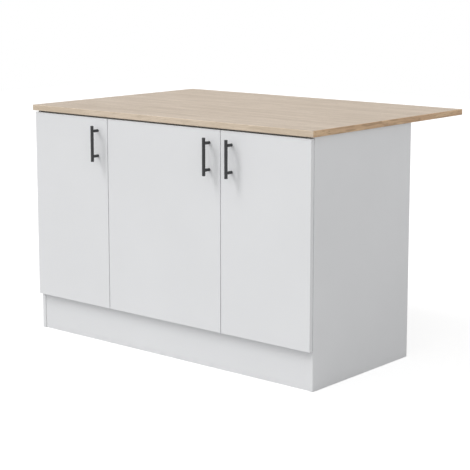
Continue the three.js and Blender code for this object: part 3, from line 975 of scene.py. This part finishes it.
nodes = [name for name in frame["nodes"] if "_shelf_support_" in name]
places = []
axes = []
for node in nodes:
    low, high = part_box(node)
    facing_right = node.endswith("left")
    face_x = high.x - SUPPORT_TAB if facing_right else low.x + SUPPORT_TAB
    places.append((face_x, (low.y + high.y) / 2, low.z))
    axes.append(SIDES["right"] if facing_right else SIDES["left"])
low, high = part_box(nodes[0])
values = {"Height": high.z - low.z, "Width": high.y - low.y, "Reach": SUPPORT_TAB}
values.update({"Pin Depth": high.x - low.x - SUPPORT_TAB, "Finish": nickel})
supports = built("shelf_supports", places, axes, support, values)
place(supports, "cabinet", "nickel_steel", *nodes)

# %% [markdown]
# ## The concealed hinges
#
# Each door hangs on two cup hinges. A pressed cup sits in its bore with a thin flange and two screwed ears. A
# channel-shaped arm sits on a mounting plate inside the cabinet. Two bent links join them and fold into the
# cup as the door closes. The cup is built as it looks: turned discs, ears with round ends, and a rounded
# hollow taken out of them.

# %% Cup tree
FLANGE = 0.8 * MM
FLANGE_RADIUS = 19.5 * MM
FLANGE_EDGE = 0.4 * MM
EAR_RADIUS = 6.5 * MM
EAR_REACH = 24.5 * MM
CUP_WALL = 1.0 * MM
CUP_CORNER = 2.5 * MM
CUP_SIDES = 64

cup, given = new_tree("hinge cup", ("Radius", "Depth"), Finish="Material")
body = turn(cup, given["Radius"], plus(given["Depth"], FLANGE / 2), CUP_CORNER, 0.0, CUP_SIDES)
body = moved(body, Translation=at(z=times(given["Depth"], -1.0)))
flange = turn(cup, FLANGE_RADIUS, FLANGE, 0.0, FLANGE_EDGE, CUP_SIDES)
ear_ends = []
for way in (-1, 1):
    ear_end = turn(cup, EAR_RADIUS, FLANGE, 0.0, FLANGE_EDGE, HEAD_SIDES)
    ear_ends.append(moved(ear_end, Translation=(0.0, way * EAR_REACH, 0.0)))
ears = add(cup, "GeometryNodeConvexHull", {0: add(cup, "GeometryNodeJoinGeometry", {"Geometry": ear_ends})})
hollow_radius = minus(given["Radius"], CUP_WALL)
hollow = turn(cup, hollow_radius, plus(given["Depth"], FLANGE), CUP_CORNER, 0.0, CUP_SIDES)
hollow = moved(hollow, Translation=at(z=minus(CUP_WALL, given["Depth"])))
set_out(given, cut_out(united([body, flange, ears]), hollow))

# %% Cups and their screws
EAR_SCREW_REACH = 24 * MM
FITTING_SCREW = screw_size(3.6 * MM, 1.7 * MM, 1.7 * MM, 12 * MM)

for side in DOOR_SIDES:
    nodes, centres = fittings(side, "hinge_cup")
    values = {"Radius": CUP_RADIUS, "Depth": CUP_DEPTH, "Finish": nickel}
    piece = built(side + "_door_hinge_cups", centres, SIDES["back"], cup, values)
    place(piece, side + "_door", "nickel_steel", *nodes)
    flange_tops = [centre + SIDES["back"] * FLANGE for centre in centres]
    on_ears = [top + SIDES["top"] * way * EAR_SCREW_REACH for top in flange_tops for way in (-1, 1)]
    piece = screws(side + "_door_cup_screws", on_ears, SIDES["back"], FITTING_SCREW, seed=2)
    place(piece, side + "_door", "nickel_steel")

# %% [markdown]
# The arms and plates are pressed and folded from sheet, so their outlines are soft everywhere. Their solids
# already have the true shape, in flat triangles. In each copy the triangles of a flat face are joined again,
# and a narrow bevel rounds the edges that are left.

# %% Arms and plates
SHEET_ARRIS = 0.25 * MM
SHEET_ARRIS_STEPS = 2
SAME_PLACE = 0.001 * MM
FLAT_WITHIN = math.radians(1)


def softened(node, finish):
    """A copy of a solid with merged corners, whole flat faces and rounded arrises."""
    solid = frame["nodes"][node]
    copy = bmesh.new()
    copy.from_mesh(solid.data)
    copy.transform(solid.matrix_world)
    bmesh.ops.remove_doubles(copy, verts=copy.verts, dist=SAME_PLACE)
    bmesh.ops.dissolve_limit(copy, angle_limit=FLAT_WITHIN, verts=copy.verts, edges=copy.edges)
    mesh = bpy.data.meshes.new(node)
    copy.to_mesh(mesh)
    copy.free()
    mesh.materials.clear()
    mesh.materials.append(finish)
    piece = shown_object("finished_" + node, mesh)
    arris = {"width": SHEET_ARRIS, "segments": SHEET_ARRIS_STEPS}
    modify(piece, "BEVEL", limit_method="ANGLE", angle_limit=SHARP_FROM, **arris)
    shade(piece)
    return piece


for side in DOOR_SIDES:
    for end in ENDS:
        for part in ("plate", "arm"):
            node = side + "_door_hinge_" + part + "_" + end
            place(softened(node, nickel), "cabinet", "nickel_steel", node)
print("hinges with a plate and an arm:", len(DOOR_SIDES) * len(ENDS))

# %% Screws of the arms and plates
PLATE_SCREW_LINE = 37 * MM
PLATE_SCREW_REACH = 16 * MM
WING = 2.5 * MM
ARM_WEB = 9.8 * MM
ARM_SCREW_LINES = (26 * MM, 54 * MM)
ARM_SCREW = screw_size(3.2 * MM, 1.1 * MM, 1.5 * MM, 2 * MM)

cabinet_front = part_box("left_side_panel")[0].y
on_wings = []
on_webs = []
axes = []
for side in DOOR_SIDES:
    inwards = SIDES["left"] if side == "right" else SIDES["right"]
    for end in ENDS:
        low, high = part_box(side + "_door_hinge_plate_" + end)
        fixed_to = high.x if side == "right" else low.x
        root = Vector((fixed_to, cabinet_front, (low.z + high.z) / 2))
        wing_middle = root + inwards * WING + SIDES["back"] * PLATE_SCREW_LINE
        for way, line in zip((-1, 1), ARM_SCREW_LINES):
            on_wings.append(wing_middle + SIDES["top"] * way * PLATE_SCREW_REACH)
            on_webs.append(root + inwards * ARM_WEB + SIDES["back"] * line)
            axes.append(inwards)
place(screws("hinge_plate_screws", on_wings, axes, FITTING_SCREW, seed=4), "cabinet", "nickel_steel")
place(screws("hinge_arm_screws", on_webs, axes, ARM_SCREW, seed=5), "cabinet", "nickel_steel")

# %% [markdown]
# Two bent links join each cup to its arm. As the door turns they come out of the cup, like a short neck. The
# frame turns the door about one axis, so each link is a strip that follows an arc around that axis, from the
# arm to the cup, and lies folded away in the cup at rest. A pin holds each end, one in the arm and one in the
# cup. The places are measured from the axis, inwards along the front and back into the cabinet.

# %% Link tree
ARC_POINTS = 41
LINK_SHEET = 1.4 * MM

link_sizes = ("From Angle", "To Angle", "From Radius", "To Radius", "Width")
link, given = new_tree("hinge link", link_sizes, Finish="Material")
share = maths("DIVIDE", add(link, "GeometryNodeInputIndex", {}), ARC_POINTS - 1)


def between(first, second, part):
    """A part of the way from one input to another."""
    return plus(given[first], times(part, minus(given[second], given[first])))


angle = between("From Angle", "To Angle", share)
radius = between("From Radius", "To Radius", times(share, share))
east = times(radius, maths("COSINE", angle))
north = times(radius, maths("SINE", angle))
arc = path_through(ARC_POINTS, at(east, north))
set_out(given, strip(arc, LINK_SHEET, given["Width"]))

# %% Links and their pins
PIN_OVER = 1.5 * MM
ARM_PIN = 8.3 * MM
LINK_PIN_RADIUS = 1.4 * MM
LINK_PIN_EDGE = 0.3 * MM

# Where each link meets the arm and the cup, in mm, its width, and half the length of its pin in the cup.
LINKS = {
    "wide": {"arm": (11.5, 18.5), "cup": (23.0, 4.5), "width": 11 * MM, "cup_pin": 14 * MM},
    "narrow": {"arm": (14.5, 17.5), "cup": (30.0, 4.0), "width": 6 * MM, "cup_pin": 10 * MM},
}

for side in DOOR_SIDES:
    joint = next(joint for joint in frame["joints"] if joint["child"] == side + "_door")
    axis_x, axis_y, _ = joint["pos_m"]
    inwards = math.copysign(1, middle(side + "_door").x - axis_x)
    pivots = [Vector((axis_x, axis_y, middle(side + "_door_hinge_arm_" + end).z)) for end in ENDS]
    for kind, shape in LINKS.items():
        ends = {}
        for key in ("arm", "cup"):
            ends[key] = Vector((shape[key][0] * MM * inwards, shape[key][1] * MM, 0))
        from_angle, to_angle = [math.atan2(spot.y, spot.x) for spot in ends.values()]
        past = math.copysign(PIN_OVER / ends["arm"].length, from_angle - to_angle)
        values = {"From Angle": from_angle + past, "To Angle": to_angle - past}
        values.update({"From Radius": ends["arm"].length, "To Radius": ends["cup"].length})
        values.update({"Width": shape["width"], "Finish": nickel})
        name = side + "_door_" + kind + "_links"
        piece = built(name, pivots, SIDES["top"], link, values)
        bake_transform(piece)
        for key, half, body in (("arm", ARM_PIN, "cabinet"), ("cup", shape["cup_pin"], side + "_door")):
            feet = [pivot + ends[key] - SIDES["top"] * half for pivot in pivots]
            pin_size = LINK_PIN_RADIUS, 2 * half, LINK_PIN_EDGE
            pins = turned_row(name + "_" + key + "_pins", feet, SIDES["top"], *pin_size, nickel)
            place(pins, body, "nickel_steel")

# %% [markdown]
# ## Small fittings on the boards
#
# What joins the boards shows only inside and at the back. The worktop is screwed down through the two top
# rails. Cams at the ends of the rails and along the back panel's inner face pull the side panels tight, and
# each hides under a plastic cap. The back panel is screwed to the dividers and the bottom panel, under caps
# again. A soft pad behind each door's free corners stops it from knocking.

# %% Screws under the top rails
RAIL_SCREWS_X = (-560, -340, -80, 80, 340, 560)
WORKTOP_SCREW = screw_size(4.5 * MM, 2.2 * MM, 2 * MM, 26 * MM)

rails = ("front_top_rail", "back_top_rail")
under_rails = [(x * MM, middle(rail).y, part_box(rail)[0].z) for rail in rails for x in RAIL_SCREWS_X]
piece = screws("worktop_screws", under_rails, SIDES["bottom"], WORKTOP_SCREW, seed=3)
place(piece, "cabinet", "nickel_steel")

# %% Cam caps
CAM_FROM_END = 34 * MM
CAM_SPACING = 60 * MM
CAM_HEIGHTS = (230 * MM, 500 * MM, 770 * MM)
CAM_RADIUS = 8 * MM
CAP_HEIGHT = 1 * MM
CAP_EDGE = 0.4 * MM

cam_columns = (left_face + CAM_FROM_END, right_face - CAM_FROM_END)
back_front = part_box("back_panel")[0].y
on_back = [(x, back_front, z) for x in cam_columns for z in CAM_HEIGHTS]
on_rails = [
    (x, middle(rail).y + way * CAM_SPACING / 2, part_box(rail)[0].z)
    for rail in rails
    for x in cam_columns
    for way in (-1, 1)
]
axes = [SIDES["front"]] * len(on_back) + [SIDES["bottom"]] * len(on_rails)
piece = turned_row("cam_caps", on_back + on_rails, axes, CAM_RADIUS, CAP_HEIGHT, CAP_EDGE, white_plastic)
place(piece, "cabinet", "white_board")

# %% Screw caps on the back
CAP_RADIUS = 6.5 * MM
BOTTOM_CAPS_X = (-480, -140, 140, 480)

back_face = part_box("back_panel")[1].y
divider_columns = [middle(name).x for name in ("left_divider", "right_divider")]
on_dividers = [(x, back_face, z) for x in divider_columns for z in CAM_HEIGHTS]
on_bottom = [(x * MM, back_face, middle("bottom_panel").z) for x in BOTTOM_CAPS_X]
places = on_dividers + on_bottom
piece = turned_row("back_caps", places, SIDES["back"], CAP_RADIUS, CAP_HEIGHT, CAP_EDGE, white_plastic)
place(piece, "cabinet", "white_board")

# %% Door pads
PAD_RADIUS = 3 * MM
PAD_FROM_EDGE = 3.3 * MM
PAD_FROM_END = 30 * MM
PAD_HEIGHT = 1 * MM

for side in DOOR_SIDES:
    low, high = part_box(side + "_door")
    handle_x = middle(side + "_door_handle").x
    free_x = high.x - PAD_FROM_EDGE if handle_x > (low.x + high.x) / 2 else low.x + PAD_FROM_EDGE
    places = [(free_x, high.y, low.z + PAD_FROM_END), (free_x, high.y, high.z - PAD_FROM_END)]
    name = side + "_door_pads"
    piece = turned_row(name, places, SIDES["back"], PAD_RADIUS, PAD_HEIGHT, CAP_EDGE, clear_rubber)
    place(piece, side + "_door", "white_door")
